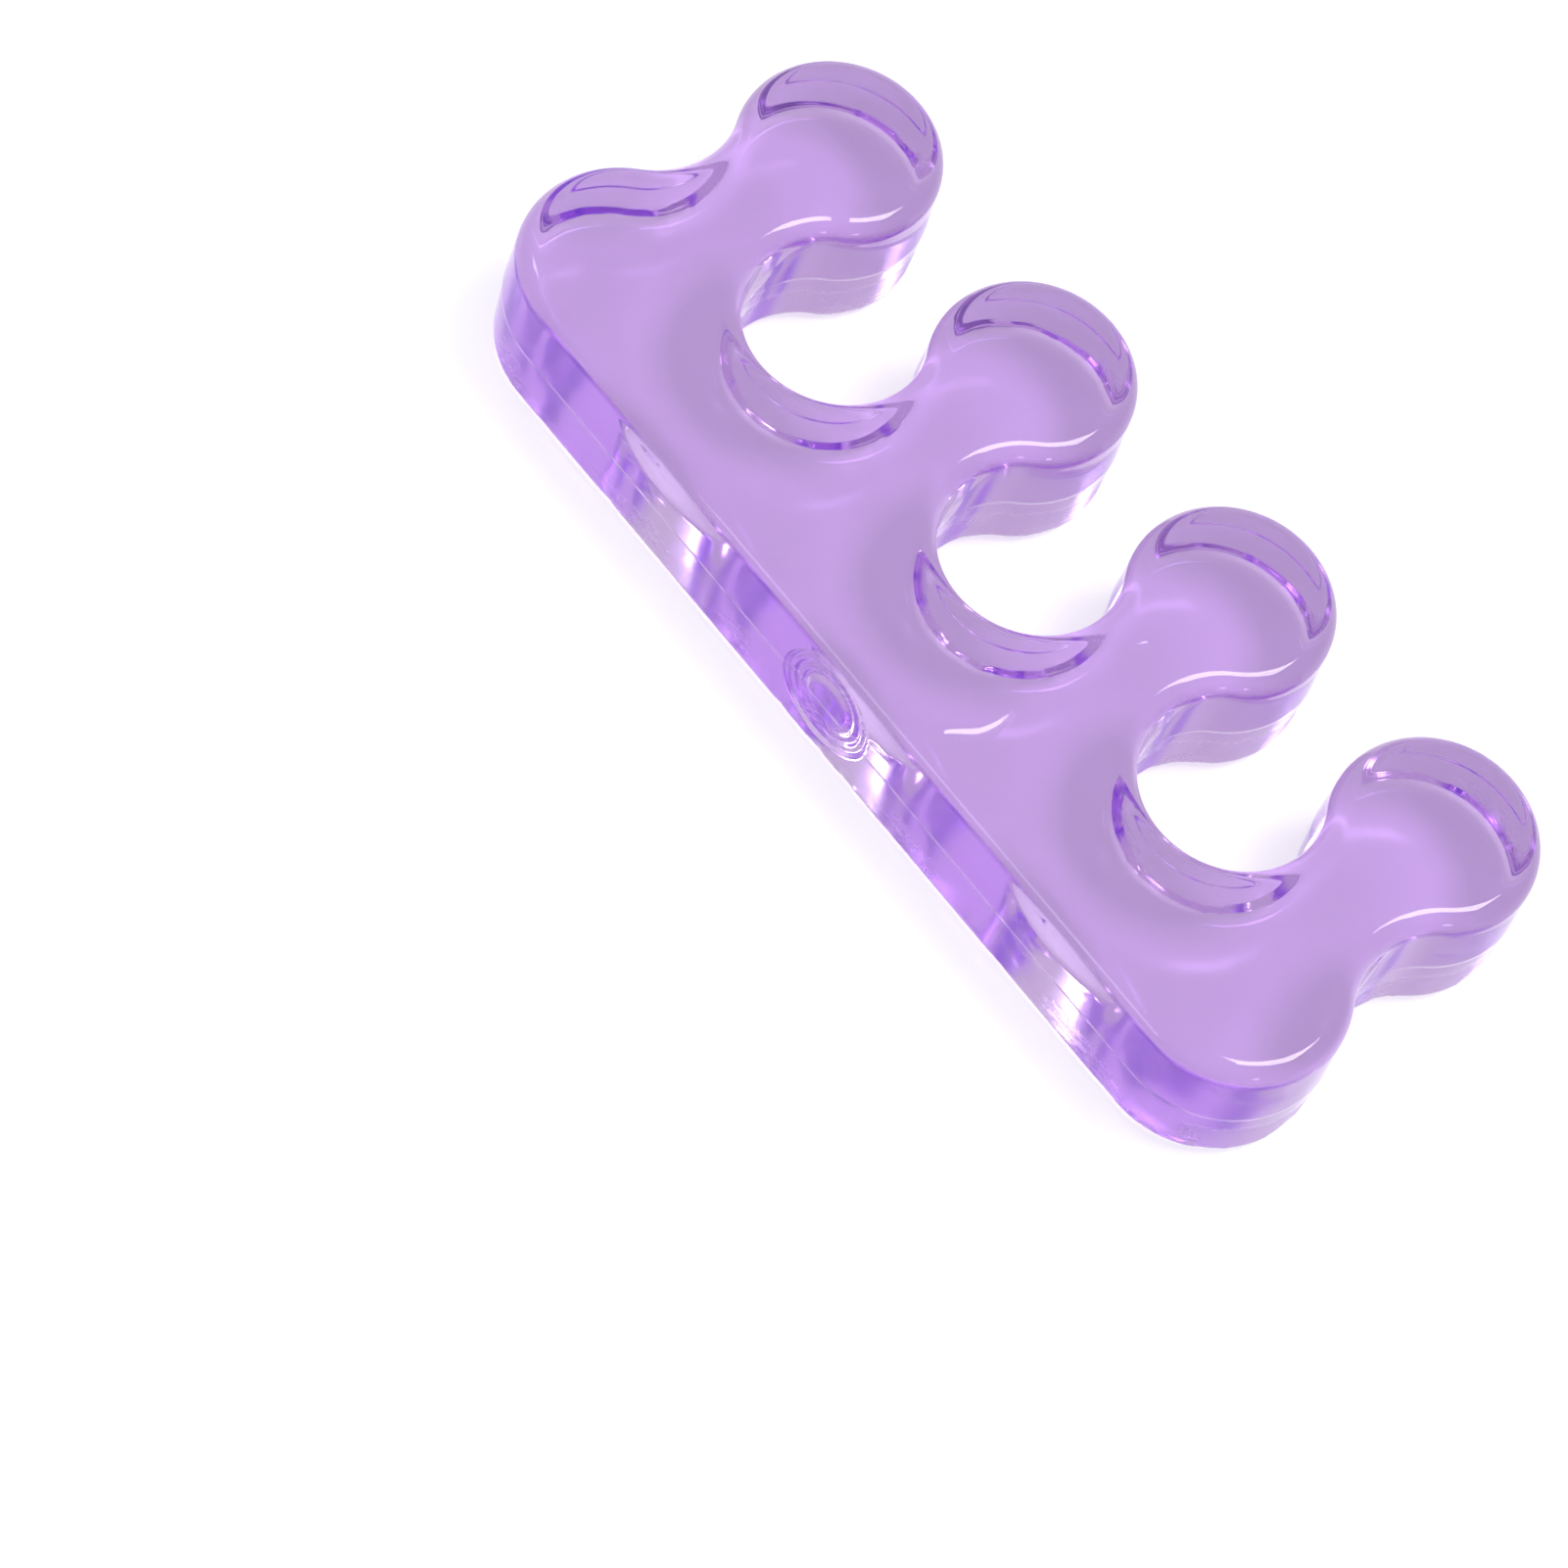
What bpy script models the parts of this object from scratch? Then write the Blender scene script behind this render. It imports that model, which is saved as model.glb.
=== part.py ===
"""Toe separator, moulded in one piece from soft clear gel.

A straight spine carries a row of round lobes. The toes sit in the gaps between the lobes, which
have a narrow neck and a wider round floor, and the outer toes rest in the dips at the two ends.
The wall leans in from a parting line round its middle to both faces, and the lower mould half left
it a fine step further in. Both edges are well rounded, the flat underside is what the part rests
on, and the gate left its rings and a smooth button on the spine's back.

Frame: +X runs along the spine, +Y from the spine to the lobe tips, +Z up. The origin is the centre
of the footprint, on the underside. Lengths are in metres.
"""

import math

import bmesh
import bpy
from mathutils import Vector

MM = 0.001

# Row of lobes and the gaps between them
LOBE_COUNT = 4
LOBE_RADIUS = 8.4 * MM
NECK_WIDTH = 6.8 * MM            # clear way between two lobes at their widest
GAP_FLOOR_RADIUS = 7.15 * MM     # round floor of each gap

# Spine and its ends
SPINE_DEPTH = 12.2 * MM          # from the spine's back to the floor of a gap
CORNER_RADIUS = 9.0 * MM         # where the spine's back turns into an end
END_OVERHANG = 1.2 * MM          # the spine's end past the outer lobe
END_DIP_RADIUS = 7.5 * MM        # hollow between the spine's end and the outer lobe

# Wall, seen as a section through its height
HEIGHT = 12.8 * MM
PARTING_HEIGHT = 6.2 * MM        # widest level, where the two mould halves met
PARTING_STEP = 0.12 * MM         # how far the lower half's wall stays inside the upper half's
DRAFT = math.radians(1.7)        # the wall's lean, away from the parting line on both sides
TOP_ROUND = 1.7 * MM
FOOT_ROUND = 1.2 * MM

# Gate mark, turned about a line square to the spine's back
GATE_RADIUS = 4.7 * MM
GATE_BUTTON_RADIUS = 2.2 * MM    # smooth button in the middle
GATE_DEPTH = 0.45 * MM           # deepest ring groove
GATE_RING_COUNT = 3              # grooves between the rim and the button
GATE_HEIGHT = 6.7 * MM           # centre of the mark above the underside
GATE_CLEARANCE = 0.3 * MM        # how far the cutter reaches out past the wall

# How finely curves are stepped
ARC_STEP = math.radians(9)
TOP_STEPS = 6
FOOT_STEPS = 4
GATE_SEGMENTS = 48
SHARP_ANGLE = math.radians(32)

GEL_COLOUR = (0.47, 0.27, 0.72, 1.0)
GEL_ROUGHNESS = 0.08
GEL_IOR = 1.41

LOBE_PITCH = 2 * LOBE_RADIUS + NECK_WIDTH
OUTER_LOBE_X = LOBE_PITCH * (LOBE_COUNT - 1) / 2
SPINE_END_X = OUTER_LOBE_X + LOBE_RADIUS + END_OVERHANG
GAP_Y = SPINE_DEPTH + GAP_FLOOR_RADIUS
LOBE_Y = GAP_Y + math.sqrt((LOBE_RADIUS + GAP_FLOOR_RADIUS) ** 2 - (LOBE_PITCH / 2) ** 2)
REACH = LOBE_Y + LOBE_RADIUS     # from the spine's back to the lobe tips


class Circle:
    """One circle of the outline. A convex one is filled with gel, a hollow one is clear of it."""

    def __init__(self, x, y, radius, hollow=False):
        self.centre = Vector((x, y))
        self.radius = radius
        self.hollow = hollow

    def bearing_to(self, other):
        """Direction from this centre to another, where two touching circles meet."""
        step = other.centre - self.centre
        return math.atan2(step.y, step.x)


def touching_circle(first, second, radius):
    """Hollow circle that touches two convex ones, on the side away from the part's middle."""
    to_first = first.radius + radius
    to_second = second.radius + radius
    span = second.centre - first.centre
    along = (to_first ** 2 - to_second ** 2 + span.length_squared) / (2 * span.length)
    across = math.sqrt(to_first ** 2 - along ** 2)
    direction = span.normalized()
    outward = Vector((direction.y, -direction.x))
    centre = first.centre + along * direction + across * outward
    return Circle(centre.x, centre.y, radius, hollow=True)


def outline_circles():
    """Circles of the outline, anticlockwise from the spine's right corner to its left one."""
    corner_x = SPINE_END_X - CORNER_RADIUS
    right_corner = Circle(corner_x, CORNER_RADIUS, CORNER_RADIUS)
    left_corner = Circle(-corner_x, CORNER_RADIUS, CORNER_RADIUS)
    row = []
    for index in range(LOBE_COUNT):
        lobe_x = OUTER_LOBE_X - index * LOBE_PITCH
        row.append(Circle(lobe_x, LOBE_Y, LOBE_RADIUS))
        if index < LOBE_COUNT - 1:
            row.append(Circle(lobe_x - LOBE_PITCH / 2, GAP_Y, GAP_FLOOR_RADIUS, hollow=True))
    right_dip = touching_circle(right_corner, row[0], END_DIP_RADIUS)
    left_dip = touching_circle(row[-1], left_corner, END_DIP_RADIUS)
    return [right_corner, right_dip, *row, left_dip, left_corner]


def outline_arcs(circles):
    """Start bearing and signed sweep of each circle's arc. Neighbours touch, so arcs join smoothly."""
    straight_down = -math.pi / 2
    arcs = []
    for index, circle in enumerate(circles):
        start = straight_down
        if index > 0:
            start = circle.bearing_to(circles[index - 1])
        end = straight_down
        if index < len(circles) - 1:
            end = circle.bearing_to(circles[index + 1])
        sweep = (end - start) % (2 * math.pi)
        if circle.hollow:
            sweep -= 2 * math.pi
        arcs.append((circle, start, sweep))
    return arcs


def outline_points(arcs, inset):
    """Closed outline, moved inward by inset, with the same number of points for every inset."""
    points = []
    for position, (circle, start, sweep) in enumerate(arcs):
        radius = circle.radius + inset if circle.hollow else circle.radius - inset
        steps = max(2, math.ceil(abs(sweep) / ARC_STEP))
        # Each arc leaves its last point to the next arc, apart from the one that meets the spine
        count = steps + 1 if position == len(arcs) - 1 else steps
        for step in range(count):
            bearing = start + sweep * step / steps
            spoke = Vector((math.cos(bearing), math.sin(bearing)))
            points.append(circle.centre + radius * spoke)
    return points


def wall_levels():
    """Height and inset of each ring of the wall, from the underside to the top face."""
    levels = []
    for step in range(FOOT_STEPS + 1):
        turn = math.pi / 2 * step / FOOT_STEPS
        height = FOOT_ROUND * (1 - math.cos(turn))
        lean = PARTING_STEP + (PARTING_HEIGHT - height) * math.tan(DRAFT)
        levels.append((height, lean + FOOT_ROUND * (1 - math.sin(turn))))
    levels.append((PARTING_HEIGHT - PARTING_STEP, PARTING_STEP * (1 + math.tan(DRAFT))))
    levels.append((PARTING_HEIGHT, 0.0))
    for step in range(TOP_STEPS + 1):
        turn = math.pi / 2 * step / TOP_STEPS
        height = HEIGHT - TOP_ROUND * (1 - math.sin(turn))
        lean = (height - PARTING_HEIGHT) * math.tan(DRAFT)
        levels.append((height, lean + TOP_ROUND * (1 - math.cos(turn))))
    return levels


def loft(mesh_name, rings):
    """Closed mesh through a stack of rings, with a flat face at each end."""
    sculpt = bmesh.new()
    loops = [[sculpt.verts.new(point) for point in ring] for ring in rings]
    for lower, upper in zip(loops, loops[1:]):
        for index in range(len(lower)):
            after = (index + 1) % len(lower)
            sculpt.faces.new((lower[index], lower[after], upper[after], upper[index]))
    sculpt.faces.new(reversed(loops[0]))
    sculpt.faces.new(loops[-1])
    mesh = bpy.data.meshes.new(mesh_name)
    sculpt.to_mesh(mesh)
    sculpt.free()
    return mesh


def gate_profile():
    """Radius and depth of the gate mark, from its rim to the edge of its button."""
    ring_width = (GATE_RADIUS - GATE_BUTTON_RADIUS) / GATE_RING_COUNT
    profile = [(GATE_RADIUS, 0.0)]
    for ring in range(GATE_RING_COUNT):
        outer = GATE_RADIUS - ring * ring_width
        profile.append((outer - ring_width / 2, GATE_DEPTH))
        profile.append((outer - ring_width, GATE_DEPTH / 2))
    return profile


def make_gate_cutter():
    """Turned plug that presses the gate mark's rings into the spine's back."""
    wall_lean = abs(GATE_HEIGHT - PARTING_HEIGHT) * math.tan(DRAFT)
    reach_out = GATE_CLEARANCE + wall_lean
    rings = []
    for radius, depth in [(GATE_RADIUS, -reach_out), *gate_profile()]:
        ring = []
        for segment in range(GATE_SEGMENTS):
            bearing = -2 * math.pi * segment / GATE_SEGMENTS
            ring.append(Vector((radius * math.cos(bearing), depth, radius * math.sin(bearing))))
        rings.append(ring)
    cutter = bpy.data.objects.new("gate_cutter", loft("gate_cutter", rings))
    cutter.hide_render = True
    cutter.display_type = "WIRE"
    return cutter


def gel_material():
    material = bpy.data.materials.new("clear_gel")
    material.use_nodes = True
    shader = material.node_tree.nodes["Principled BSDF"]
    shader.inputs["Base Color"].default_value = GEL_COLOUR
    shader.inputs["Metallic"].default_value = 0.0
    shader.inputs["Roughness"].default_value = GEL_ROUGHNESS
    shader.inputs["IOR"].default_value = GEL_IOR
    shader.inputs["Transmission Weight"].default_value = 1.0
    return material


def make_separator():
    arcs = outline_arcs(outline_circles())
    rings = []
    for height, inset in wall_levels():
        rings.append([Vector((point.x, point.y, height)) for point in outline_points(arcs, inset)])
    mesh = loft("toe_separator", rings)
    mesh.shade_smooth()
    mesh.set_sharp_from_angle(angle=SHARP_ANGLE)
    mesh.materials.append(gel_material())
    return bpy.data.objects.new("toe_separator", mesh)


def main():
    for leftover in list(bpy.data.objects):
        bpy.data.objects.remove(leftover, do_unlink=True)

    separator = make_separator()
    separator.location.y = -REACH / 2
    bpy.context.collection.objects.link(separator)

    cutter = make_gate_cutter()
    cutter.parent = separator
    cutter.location.z = GATE_HEIGHT
    bpy.context.collection.objects.link(cutter)

    gate = separator.modifiers.new("gate_mark", "BOOLEAN")
    gate.operation = "DIFFERENCE"
    gate.object = cutter


main()
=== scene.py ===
"""Studio picture of a toe separator moulded from clear purple gel.

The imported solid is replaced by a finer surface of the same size, built from the same touching
circles, with what the mould left on it: a parting step, gate rings, flow marks in the top face,
sandy patches and small dents low on the wall, and a slight wave.

Frame: +X runs along the spine, +Y from the spine to the lobe tips, +Z up. The origin is the centre
of the footprint, on the underside. Lengths are in metres.
"""

import math

import bmesh
import bpy
from mathutils import Matrix, Vector, noise
from mathutils.geometry import intersect_point_line


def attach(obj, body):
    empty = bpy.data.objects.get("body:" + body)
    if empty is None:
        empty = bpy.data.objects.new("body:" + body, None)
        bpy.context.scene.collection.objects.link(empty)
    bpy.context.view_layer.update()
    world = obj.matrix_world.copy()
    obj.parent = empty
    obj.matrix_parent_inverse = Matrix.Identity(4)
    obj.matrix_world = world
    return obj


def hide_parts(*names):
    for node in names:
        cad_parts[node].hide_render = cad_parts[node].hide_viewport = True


MM = 0.001
WHITE = (1.0, 1.0, 1.0, 1.0)

# Outline and section of the solid
LOBE_COUNT = 4
LOBE_RADIUS = 8.4 * MM
NECK_WIDTH = 6.8 * MM            # clear way between two lobes at their widest
GAP_FLOOR_RADIUS = 7.15 * MM
SPINE_DEPTH = 12.2 * MM          # from the spine's back to the floor of a gap
CORNER_RADIUS = 9.0 * MM
END_OVERHANG = 1.2 * MM          # the spine's end past the outer lobe
END_DIP_RADIUS = 7.5 * MM
HEIGHT = 12.8 * MM
PARTING_HEIGHT = 6.2 * MM
PARTING_STEP = 0.03 * MM         # fine enough to catch light without a dark line in the gel
DRAFT = math.radians(1.7)
TOP_ROUND = 1.7 * MM
FOOT_ROUND = 1.2 * MM

# Gate mark on the spine's back: ring grooves round a smooth raised button, torn on its +X side
GATE_RADIUS = 4.7 * MM
GATE_BUTTON_RADIUS = 2.2 * MM
GATE_BUTTON_EDGE = 0.3 * MM
GATE_BUTTON_RISE = 0.35          # share of the depth that the button stands up by
GATE_DEPTH = 0.45 * MM
GATE_RING_COUNT = 3
GATE_HEIGHT = 6.7 * MM
GATE_CRINKLE = 0.07 * MM
GATE_CRINKLE_SIZE = 0.8 * MM

# Slight unevenness of the moulded wall
WAVE_DEPTH = 0.02 * MM
WAVE_SIZE = 3.4 * MM

# Sandy patches low on the wall
SAND_TOP = 5.0 * MM
SAND_FADE = 0.3 * SAND_TOP
SAND_PATCH_SIZE = 5.0 * MM
SAND_GRAIN = 0.45 * MM
SAND_DEPTH = 0.05 * MM
SAND_FACING_PULL = 0.4           # how much more the wall takes where it faces +X
SAND_PATCH_PULL = 0.5
SAND_GRAIN_PULL = 0.3
SAND_START = 0.12
SAND_RISE = 0.08

# Small dents in the lower edge
DENT_TOP = 2.2 * MM
DENT_FADE_IN = 0.2 * DENT_TOP
DENT_FADE_OUT = 0.5 * DENT_TOP
DENT_SPACING = 2.6 * MM
DENT_GRAIN = 0.9 * MM
DENT_DEPTH = 0.12 * MM
DENT_START = 0.2
DENT_RISE = 0.15

# Worm-like flow marks in the top face, as routes in millimetres with a half width
FLOW_MARKS = [
    ([(9.0, -16.5), (8.8, -15.9), (9.4, -15.0), (10.1, -13.9),
      (10.4, -12.5), (10.3, -11.1), (9.9, -9.8)], 0.5 * MM),
    ([(11.0, 1.0), (11.3, 1.8), (11.9, 2.0), (12.2, 1.4)], 0.25 * MM),
    ([(15.4, -15.4), (15.8, -15.1), (16.2, -15.3)], 0.18 * MM),
]
FLOW_SLOPE = 0.29
FLOW_END_WIDTH = 0.35            # share of its width that a mark keeps at its ends
FLOW_STEP = 0.12 * MM
FLOW_SUBSTEPS = 8

# Fineness of the surface
ARC_STEP = math.radians(2.5)
TOP_STEPS = 14
FOOT_STEPS = 8
WALL_STEP = 0.22 * MM
SPINE_STEP = 0.6 * MM
GATE_STEP = 0.2 * MM
RIM_SUPPORT = 0.3 * MM           # ring on each flat face that keeps it flat beside its rounding

# Gel
GEL_TINT = (0.635, 0.555, 0.70, 1.0)
GEL_IOR = 1.43
GEL_ROUGHNESS = 0.03
ABSORB_TINT = (0.58, 0.02, 0.92, 1.0)
ABSORB_DENSITY = 25.0
FROST_ROUGHNESS = 0.13           # of the underside
FROST_LOW = 0.01 * MM
FROST_HIGH = 0.06 * MM
SAND_ROUGHNESS = 0.3

# White table
FLOOR_HALF_WIDTH = 3.0
FLOOR_DROP = 0.1 * MM            # keeps the table clear of the underside
FLOOR_COLOUR = (0.55, 0.55, 0.55, 1.0)
FLOOR_ROUGHNESS = 0.6
FLOOR_SPECULAR = 0.2
FLOOR_GLOW = 0.5

# Studio: name, zenith and bearing in degrees, size in metres, radiance
SOFTBOXES = [
    ("overhead_softbox", 21.5, -68, 0.36, 14.0),
    ("left_softbox", 38, 68, 0.14, 10.0),
    ("right_front_softbox", 74, -137, 0.09, 12.0),
    ("left_front_softbox", 74, 137, 0.2, 4.0),
]
WORLD_STRENGTH = 0.9
GEL_BOUNCES = 20
FLOOR_BOUNCES = 2

# Camera, found by fitting the solid's outline to the photograph
CAMERA_AIM = Vector((1.488, -22.371, 0.0)) * MM
CAMERA_TURN = math.radians(30.57)
CAMERA_ELEVATION = math.radians(59.83)
CAMERA_ROLL = math.radians(22.94)
CAMERA_DISTANCE = 503.08 * MM
FRAME_PIXELS = 1601
FOCAL_PIXELS = 6860.6
SENSOR_WIDTH = 36.0

LOBE_PITCH = 2 * LOBE_RADIUS + NECK_WIDTH
OUTER_LOBE_X = LOBE_PITCH * (LOBE_COUNT - 1) / 2
SPINE_END_X = OUTER_LOBE_X + LOBE_RADIUS + END_OVERHANG
GAP_Y = SPINE_DEPTH + GAP_FLOOR_RADIUS
LOBE_Y = GAP_Y + math.sqrt((LOBE_RADIUS + GAP_FLOOR_RADIUS) ** 2 - (LOBE_PITCH / 2) ** 2)
REACH = LOBE_Y + LOBE_RADIUS     # from the spine's back to the lobe tips
SPINE_BACK = Vector((0.0, -1.0))


class Circle:
    """One circle of the outline. A convex one is filled with gel, a hollow one is clear of it."""

    def __init__(self, x, y, radius, hollow=False):
        self.centre = Vector((x, y))
        self.radius = radius
        self.hollow = hollow

    def bearing_to(self, other):
        """Direction from this centre to another, where two touching circles meet."""
        step = other.centre - self.centre
        return math.atan2(step.y, step.x)


def touching_circle(first, second, radius):
    """Hollow circle that touches two convex ones, on the side away from the part's middle."""
    to_first = first.radius + radius
    to_second = second.radius + radius
    span = second.centre - first.centre
    along = (to_first ** 2 - to_second ** 2 + span.length_squared) / (2 * span.length)
    across = math.sqrt(to_first ** 2 - along ** 2)
    direction = span.normalized()
    outward = Vector((direction.y, -direction.x))
    centre = first.centre + along * direction + across * outward
    return Circle(centre.x, centre.y, radius, hollow=True)


def outline_circles():
    """Circles of the outline, anticlockwise from the spine's right corner to its left one."""
    corner_x = SPINE_END_X - CORNER_RADIUS
    right_corner = Circle(corner_x, CORNER_RADIUS, CORNER_RADIUS)
    left_corner = Circle(-corner_x, CORNER_RADIUS, CORNER_RADIUS)
    row = []
    for index in range(LOBE_COUNT):
        lobe_x = OUTER_LOBE_X - index * LOBE_PITCH
        row.append(Circle(lobe_x, LOBE_Y, LOBE_RADIUS))
        if index < LOBE_COUNT - 1:
            row.append(Circle(lobe_x - LOBE_PITCH / 2, GAP_Y, GAP_FLOOR_RADIUS, hollow=True))
    right_dip = touching_circle(right_corner, row[0], END_DIP_RADIUS)
    left_dip = touching_circle(row[-1], left_corner, END_DIP_RADIUS)
    return [right_corner, right_dip, *row, left_dip, left_corner]


def spine_stations(corner_x):
    """X of each point along the spine's straight back, closer together across the gate mark."""
    margin = GATE_RADIUS + 4 * GATE_STEP
    stations = []
    x = -corner_x
    while x < corner_x:
        x += GATE_STEP if abs(x) < margin else SPINE_STEP
        stations.append(x)
    return [x for x in stations if x < corner_x - SPINE_STEP / 2]


def outline(inset):
    """Closed outline moved inward by inset, as (point, outward direction) pairs."""
    circles = outline_circles()
    straight_down = -math.pi / 2
    points = []
    for index, circle in enumerate(circles):
        start = circle.bearing_to(circles[index - 1]) if index else straight_down
        last = index == len(circles) - 1
        end = straight_down if last else circle.bearing_to(circles[index + 1])
        sweep = (end - start) % (2 * math.pi)
        if circle.hollow:
            sweep -= 2 * math.pi
        radius = circle.radius + inset if circle.hollow else circle.radius - inset
        steps = max(2, math.ceil(abs(sweep) / ARC_STEP))
        for step in range(steps + 1 if last else steps):
            bearing = start + sweep * step / steps
            spoke = Vector((math.cos(bearing), math.sin(bearing)))
            points.append((circle.centre + radius * spoke, -spoke if circle.hollow else spoke))
    for x in spine_stations(SPINE_END_X - CORNER_RADIUS):
        points.append((Vector((x, inset)), SPINE_BACK))
    return points


def even_steps(low, high):
    """Heights strictly between two levels, about WALL_STEP apart."""
    count = max(1, round((high - low) / WALL_STEP))
    return [low + (high - low) * step / count for step in range(1, count)]


def wall_levels():
    """Height and inset of each ring of the wall, from the underside to the top face."""
    slope = math.tan(DRAFT)
    ledge = PARTING_HEIGHT - PARTING_STEP
    levels = []
    for step in range(FOOT_STEPS + 1):
        turn = math.pi / 2 * step / FOOT_STEPS
        height = FOOT_ROUND * (1 - math.cos(turn))
        lean = PARTING_STEP + (PARTING_HEIGHT - height) * slope
        levels.append((height, lean + FOOT_ROUND * (1 - math.sin(turn))))
    for height in even_steps(FOOT_ROUND, ledge):
        levels.append((height, PARTING_STEP + (PARTING_HEIGHT - height) * slope))
    levels.append((ledge, PARTING_STEP * (1 + slope)))
    levels.append((PARTING_HEIGHT, 0.0))
    for height in even_steps(PARTING_HEIGHT, HEIGHT - TOP_ROUND):
        levels.append((height, (height - PARTING_HEIGHT) * slope))
    for step in range(TOP_STEPS + 1):
        turn = math.pi / 2 * step / TOP_STEPS
        height = HEIGHT - TOP_ROUND * (1 - math.sin(turn))
        lean = (height - PARTING_HEIGHT) * slope
        levels.append((height, lean + TOP_ROUND * (1 - math.cos(turn))))
    return levels


def ease(value):
    """Smooth rise from 0 to 1."""
    value = min(1.0, max(0.0, value))
    return value * value * (3 - 2 * value)


def unit_noise(place, size):
    """Smooth noise from 0 to 1, with features of about a given size."""
    return 0.5 + 0.5 * noise.noise(place / size)


def gate_depth(place):
    """How deep the gate mark is pressed into the spine's back at a place."""
    distance = math.hypot(place.x, place.z - GATE_HEIGHT)
    if distance >= GATE_RADIUS:
        return 0.0
    if distance <= GATE_BUTTON_RADIUS:
        rise = ease((GATE_BUTTON_RADIUS - distance) / GATE_BUTTON_EDGE)
        return GATE_DEPTH * (0.5 - GATE_BUTTON_RISE * rise)
    phase = (GATE_RADIUS - distance) / (GATE_RADIUS - GATE_BUTTON_RADIUS) * GATE_RING_COUNT
    groove = 0.5 - 0.5 * math.cos(2 * math.pi * phase)
    torn = max(0.0, place.x / GATE_RADIUS) * noise.noise(place / GATE_CRINKLE_SIZE)
    return GATE_DEPTH * 0.5 * (min(1.0, phase) + groove) + GATE_CRINKLE * torn


def wave_depth(place):
    """How far the wall waves inward, fading to nothing at the underside and the rim."""
    shoulder = HEIGHT - TOP_ROUND
    fade = max(0.0, min(1.0, place.z / FOOT_ROUND, (shoulder - place.z) / TOP_ROUND))
    return WAVE_DEPTH * fade * unit_noise(place, WAVE_SIZE)


def sandiness(place, outward):
    """How rough the mould left the wall here, from 0 to 1, in ragged patches."""
    if not 0.0 < place.z < SAND_TOP:
        return 0.0
    patch = SAND_FACING_PULL * outward.x
    patch += SAND_PATCH_PULL * noise.noise(place / SAND_PATCH_SIZE)
    patch += SAND_GRAIN_PULL * noise.noise(place / SAND_GRAIN)
    fade = ease(place.z / SAND_FADE) * ease((SAND_TOP - place.z) / SAND_FADE)
    return ease((fade * patch - SAND_START) / SAND_RISE)


def dent_depth(place):
    """Depth of the small dents in the lower edge."""
    if not 0.0 < place.z < DENT_TOP:
        return 0.0
    spot = ease((noise.noise(place / DENT_SPACING) - DENT_START) / DENT_RISE)
    fade = ease(place.z / DENT_FADE_IN) * ease((DENT_TOP - place.z) / DENT_FADE_OUT)
    return DENT_DEPTH * fade * spot * unit_noise(place, DENT_GRAIN)


def smooth_route(corners):
    """Points along a smooth curve through the corners of a route."""
    padded = [corners[0], *corners, corners[-1]]
    route = []
    for before, start, end, after in zip(padded, padded[1:], padded[2:], padded[3:]):
        pull_start = (end - before) / 2
        pull_end = (after - start) / 2
        for step in range(FLOW_SUBSTEPS):
            t = step / FLOW_SUBSTEPS
            place = (2 * t ** 3 - 3 * t ** 2 + 1) * start + (t ** 3 - 2 * t ** 2 + t) * pull_start
            place += (3 * t ** 2 - 2 * t ** 3) * end + (t ** 3 - t ** 2) * pull_end
            route.append(place)
    route.append(corners[-1])
    return route


def slice_faces(sculpt, faces, place, direction):
    """Cut faces along a plane, and give the faces that they become."""
    edges = {edge for face in faces for edge in face.edges}
    corners = {corner for face in faces for corner in face.verts}
    cut = bmesh.ops.bisect_plane(sculpt, geom=[*faces, *edges, *corners], dist=1e-7,
                                 plane_co=place, plane_no=direction)
    return [item for item in cut["geom"] if isinstance(item, bmesh.types.BMFace)]


def near_route(place, route):
    """Distance from a place to a route, and how far along the route that is, from 0 to 1."""
    nearest = (math.inf, 0.0)
    for index, (start, end) in enumerate(zip(route, route[1:])):
        share = min(1.0, max(0.0, intersect_point_line(place, start, end)[1]))
        gap = (place - start.lerp(end, share)).length
        nearest = min(nearest, (gap, (index + share) / (len(route) - 1)))
    return nearest


def press_flow_mark(sculpt, cap, corners, half_width):
    """Press a groove into the top face along a route. Gives the faces left round its patch."""
    route = smooth_route([Vector((x * MM, y * MM, HEIGHT)) for x, y in corners])
    margin = half_width + FLOW_STEP
    low = Vector((min(p.x for p in route) - margin, min(p.y for p in route) - margin, HEIGHT))
    high = Vector((max(p.x for p in route) + margin, max(p.y for p in route) + margin, HEIGHT))
    along_x = Vector((1.0, 0.0, 0.0))
    along_y = Vector((0.0, 1.0, 0.0))
    for place, direction in ((low, along_x), (high, along_x), (low, along_y), (high, along_y)):
        cap = slice_faces(sculpt, cap, place, direction)
    patch = []
    rest = []
    for face in cap:
        middle = face.calc_center_median()
        inside = low.x < middle.x < high.x and low.y < middle.y < high.y
        (patch if inside else rest).append(face)
    for direction, span in ((along_x, high.x - low.x), (along_y, high.y - low.y)):
        count = math.ceil(span / FLOW_STEP)
        for step in range(1, count):
            patch = slice_faces(sculpt, patch, low.lerp(high, step / count), direction)
    for corner in {corner for face in patch for corner in face.verts}:
        gap, progress = near_route(corner.co, route)
        width = FLOW_END_WIDTH + (1 - FLOW_END_WIDTH) * math.sin(math.pi * progress)
        corner.co.z -= FLOW_SLOPE * max(0.0, half_width * width - gap)
    return rest


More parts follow.
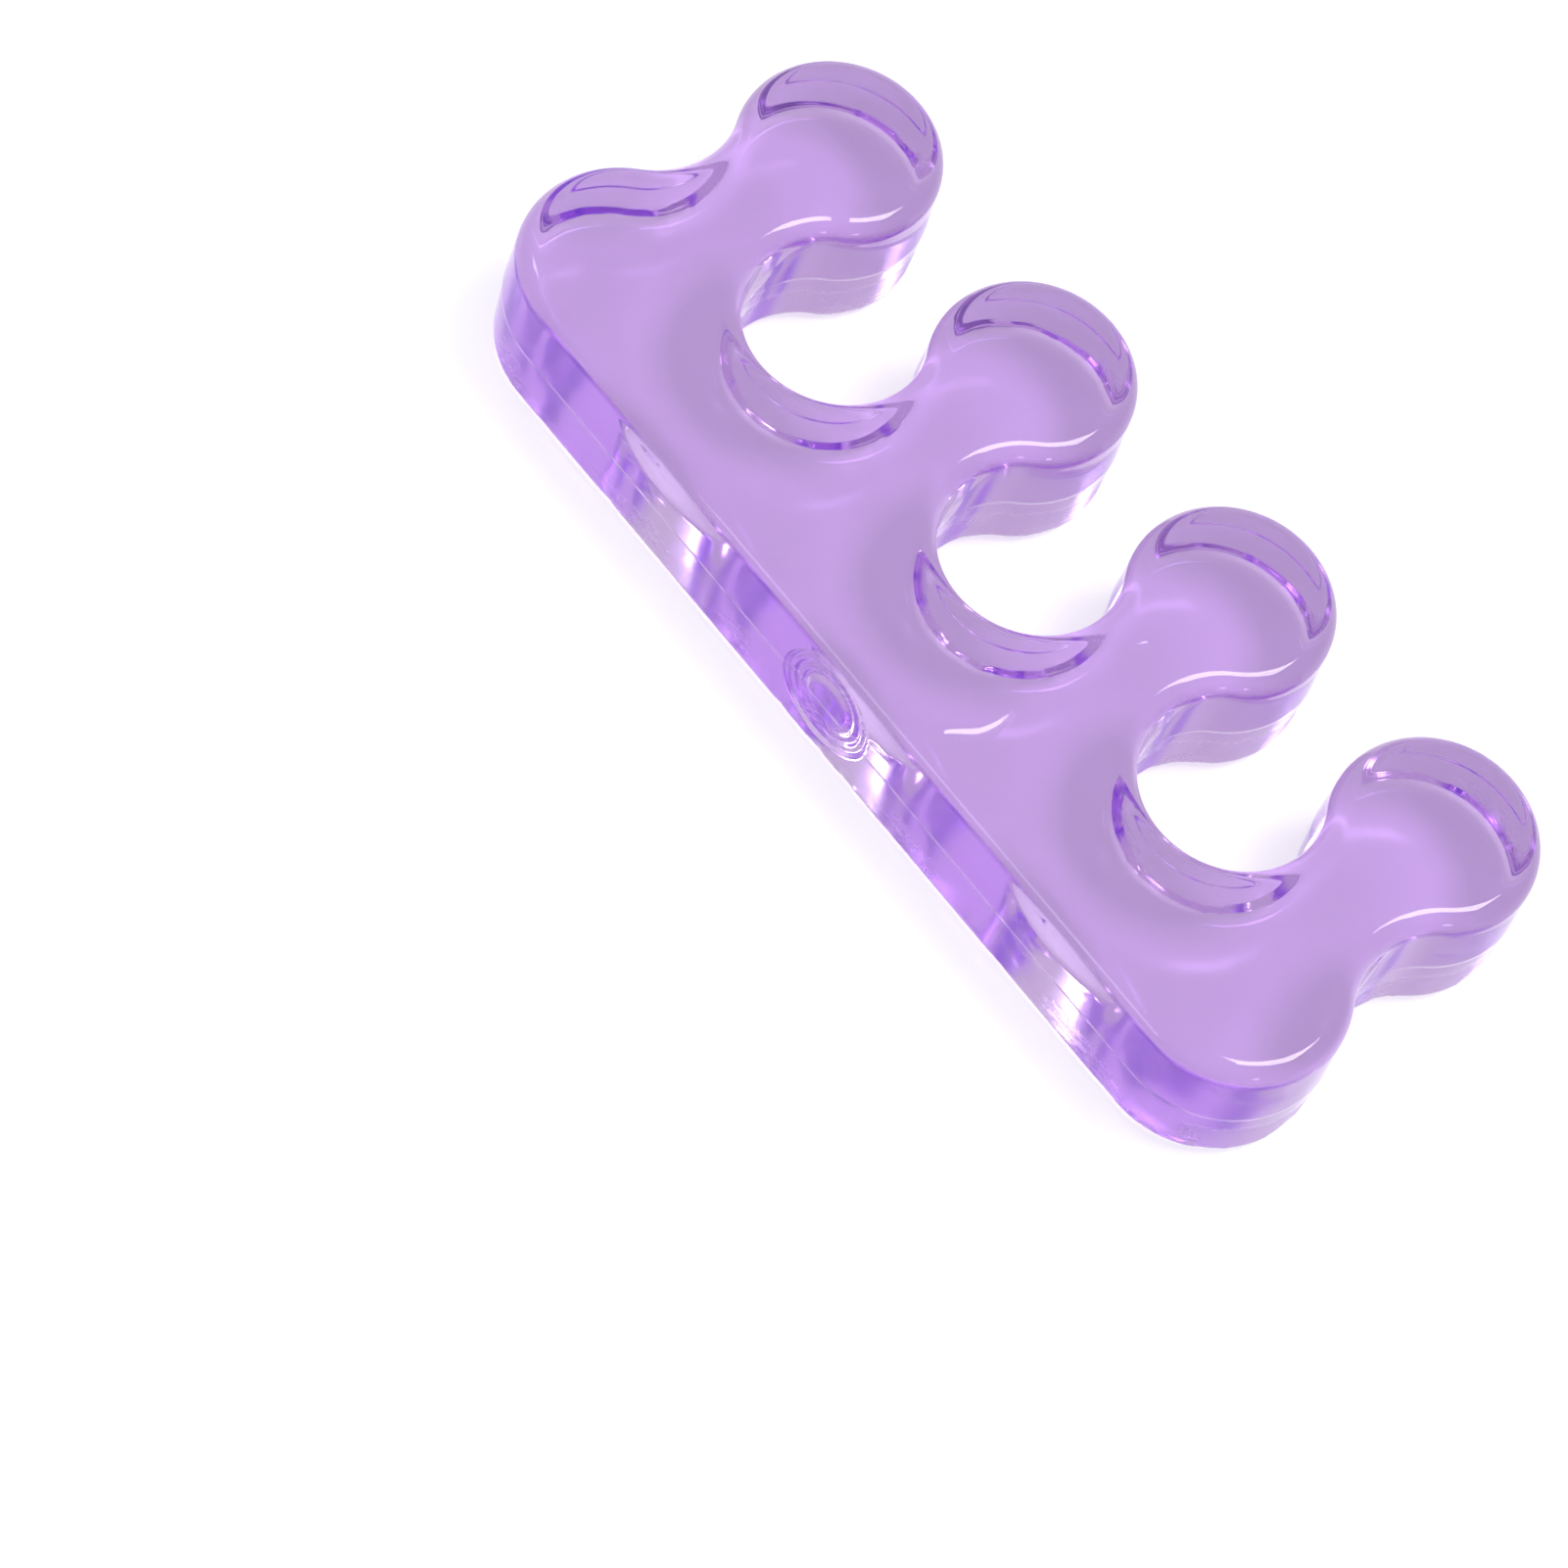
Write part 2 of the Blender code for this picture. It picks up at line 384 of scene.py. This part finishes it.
def make_gel_mesh():
    """Closed skin of the part, with how sandy it is kept at each corner for the material."""
    sculpt = bmesh.new()
    sandy = sculpt.verts.layers.float.new("sandy")
    loops = []
    levels = wall_levels()
    foot_edge = levels[0][1] + RIM_SUPPORT
    top_edge = levels[-1][1] + RIM_SUPPORT
    for height, inset in [(0.0, foot_edge), *levels, (HEIGHT, top_edge)]:
        loop = []
        for point, outward in outline(inset):
            place = Vector((point.x, point.y - REACH / 2, height))
            rough = sandiness(place, outward)
            push = wave_depth(place) + dent_depth(place)
            push += SAND_DEPTH * rough * unit_noise(place, SAND_GRAIN)
            if outward is SPINE_BACK:
                push += gate_depth(place)
            corner = sculpt.verts.new(place - push * outward.to_3d())
            corner[sandy] = rough
            loop.append(corner)
        loops.append(loop)
    for lower, upper in zip(loops, loops[1:]):
        for index in range(len(lower)):
            after = (index + 1) % len(lower)
            sculpt.faces.new((lower[index], lower[after], upper[after], upper[index]))
    sculpt.faces.new(reversed(loops[0]))
    cap = [sculpt.faces.new(loops[-1])]
    # The cuts for the flow marks need the cap's normal, because its outline is hollow in places
    sculpt.normal_update()
    for corners, half_width in FLOW_MARKS:
        cap = press_flow_mark(sculpt, cap, corners, half_width)
    mesh = bpy.data.meshes.new("gel_body")
    sculpt.to_mesh(mesh)
    sculpt.free()
    mesh.shade_smooth()
    return mesh


def remap(tree, source, from_range, to_range):
    """Node output that turns one range of values into another, held at its ends."""
    node = tree.nodes.new("ShaderNodeMapRange")
    node.inputs["From Min"].default_value, node.inputs["From Max"].default_value = from_range
    node.inputs["To Min"].default_value, node.inputs["To Max"].default_value = to_range
    tree.links.new(source, node.inputs["Value"])
    return node.outputs["Result"]


def gel_material():
    """Clear gel that takes its purple from depth, frosted underneath and sandy low on the wall."""
    material = bpy.data.materials.new("purple_gel")
    material.use_nodes = True
    tree = material.node_tree
    shader = tree.nodes["Principled BSDF"]
    shader.inputs["Base Color"].default_value = GEL_TINT
    shader.inputs["IOR"].default_value = GEL_IOR
    shader.inputs["Transmission Weight"].default_value = 1.0

    coordinates = tree.nodes.new("ShaderNodeTexCoord")
    place = tree.nodes.new("ShaderNodeSeparateXYZ")
    tree.links.new(coordinates.outputs["Object"], place.inputs[0])
    frosted = remap(tree, place.outputs["Z"], (FROST_LOW, FROST_HIGH),
                    (FROST_ROUGHNESS, GEL_ROUGHNESS))

    sandy = tree.nodes.new("ShaderNodeAttribute")
    sandy.attribute_name = "sandy"
    rough_sand = remap(tree, sandy.outputs["Fac"], (0.0, 1.0), (GEL_ROUGHNESS, SAND_ROUGHNESS))

    rougher = tree.nodes.new("ShaderNodeMath")
    rougher.operation = "MAXIMUM"
    tree.links.new(frosted, rougher.inputs[0])
    tree.links.new(rough_sand, rougher.inputs[1])
    tree.links.new(rougher.outputs[0], shader.inputs["Roughness"])

    absorb = tree.nodes.new("ShaderNodeVolumeAbsorption")
    absorb.inputs["Color"].default_value = ABSORB_TINT
    absorb.inputs["Density"].default_value = ABSORB_DENSITY
    tree.links.new(absorb.outputs["Volume"], tree.nodes["Material Output"].inputs["Volume"])
    return material


def add_floor():
    """White table that glows a little, as on a light table, so that shadows stay faint."""
    half = FLOOR_HALF_WIDTH
    corners = [(-half, -half, 0.0), (half, -half, 0.0), (half, half, 0.0), (-half, half, 0.0)]
    mesh = bpy.data.meshes.new("floor")
    mesh.from_pydata(corners, [], [(0, 1, 2, 3)])
    floor = bpy.data.objects.new("floor", mesh)
    floor.location.z = -FLOOR_DROP
    bpy.context.collection.objects.link(floor)
    material = bpy.data.materials.new("white_table")
    material.use_nodes = True
    shader = material.node_tree.nodes["Principled BSDF"]
    shader.inputs["Base Color"].default_value = FLOOR_COLOUR
    shader.inputs["Roughness"].default_value = FLOOR_ROUGHNESS
    shader.inputs["Specular IOR Level"].default_value = FLOOR_SPECULAR
    shader.inputs["Emission Color"].default_value = WHITE
    shader.inputs["Emission Strength"].default_value = FLOOR_GLOW
    mesh.materials.append(material)


def view_axes():
    """Right, up and forward directions of the camera."""
    turn = Matrix.Rotation(CAMERA_TURN, 3, "Z")
    forward = turn @ Vector((0.0, math.cos(CAMERA_ELEVATION), -math.sin(CAMERA_ELEVATION)))
    level = turn @ Vector((1.0, 0.0, 0.0))
    rise = turn @ Vector((0.0, math.sin(CAMERA_ELEVATION), math.cos(CAMERA_ELEVATION)))
    right = math.cos(CAMERA_ROLL) * level + math.sin(CAMERA_ROLL) * rise
    up = -math.sin(CAMERA_ROLL) * level + math.cos(CAMERA_ROLL) * rise
    return right, up, forward


def add_camera():
    right, up, forward = view_axes()
    data = bpy.data.cameras.new("camera")
    data.sensor_width = SENSOR_WIDTH
    data.lens = SENSOR_WIDTH * FOCAL_PIXELS / FRAME_PIXELS
    data.clip_start = 0.01
    camera = bpy.data.objects.new("camera", data)
    turn = Matrix((right, up, -forward)).transposed().to_4x4()
    camera.matrix_world = Matrix.Translation(CAMERA_AIM - forward * CAMERA_DISTANCE) @ turn
    bpy.context.collection.objects.link(camera)
    bpy.context.scene.camera = camera


def add_softbox(name, zenith, bearing, size, radiance):
    """Square light a metre off, facing the part. Bearing 0 is behind it as the camera sees it."""
    data = bpy.data.lights.new(name, "AREA")
    data.shape = "SQUARE"
    data.size = size
    data.energy = radiance * math.pi * size ** 2
    turn = Matrix.Rotation(CAMERA_TURN + math.radians(bearing), 3, "Z")
    tilt = math.radians(zenith)
    direction = turn @ Vector((0.0, math.sin(tilt), math.cos(tilt)))
    light = bpy.data.objects.new(name, data)
    light.location = direction
    light.rotation_euler = (-direction).to_track_quat("-Z", "Y").to_euler()
    bpy.context.collection.objects.link(light)


def light_studio():
    world = bpy.data.worlds.new("studio")
    world.use_nodes = True
    background = world.node_tree.nodes["Background"]
    background.inputs["Color"].default_value = WHITE
    background.inputs["Strength"].default_value = WORLD_STRENGTH
    bpy.context.scene.world = world
    for softbox in SOFTBOXES:
        add_softbox(*softbox)
    view = bpy.context.scene.view_settings
    view.view_transform = "Standard"
    view.look = "None"
    # Light bounces many times inside the gel before it leaves, and gathers in bright spots below
    cycles = bpy.context.scene.cycles
    cycles.max_bounces = GEL_BOUNCES
    cycles.glossy_bounces = GEL_BOUNCES
    cycles.transmission_bounces = GEL_BOUNCES
    cycles.diffuse_bounces = FLOOR_BOUNCES
    cycles.blur_glossy = 0.0


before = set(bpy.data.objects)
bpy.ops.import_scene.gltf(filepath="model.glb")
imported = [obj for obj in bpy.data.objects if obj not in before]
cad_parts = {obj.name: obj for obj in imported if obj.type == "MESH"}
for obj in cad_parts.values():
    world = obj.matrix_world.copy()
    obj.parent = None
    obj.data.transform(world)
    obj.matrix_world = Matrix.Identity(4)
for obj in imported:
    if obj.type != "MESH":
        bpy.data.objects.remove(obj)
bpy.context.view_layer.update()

gel = bpy.data.objects.new("gel_body", make_gel_mesh())
bpy.context.collection.objects.link(gel)
gel.data.materials.append(gel_material())
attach(gel, "root")
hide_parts("toe_separator")

add_floor()
add_camera()
light_studio()
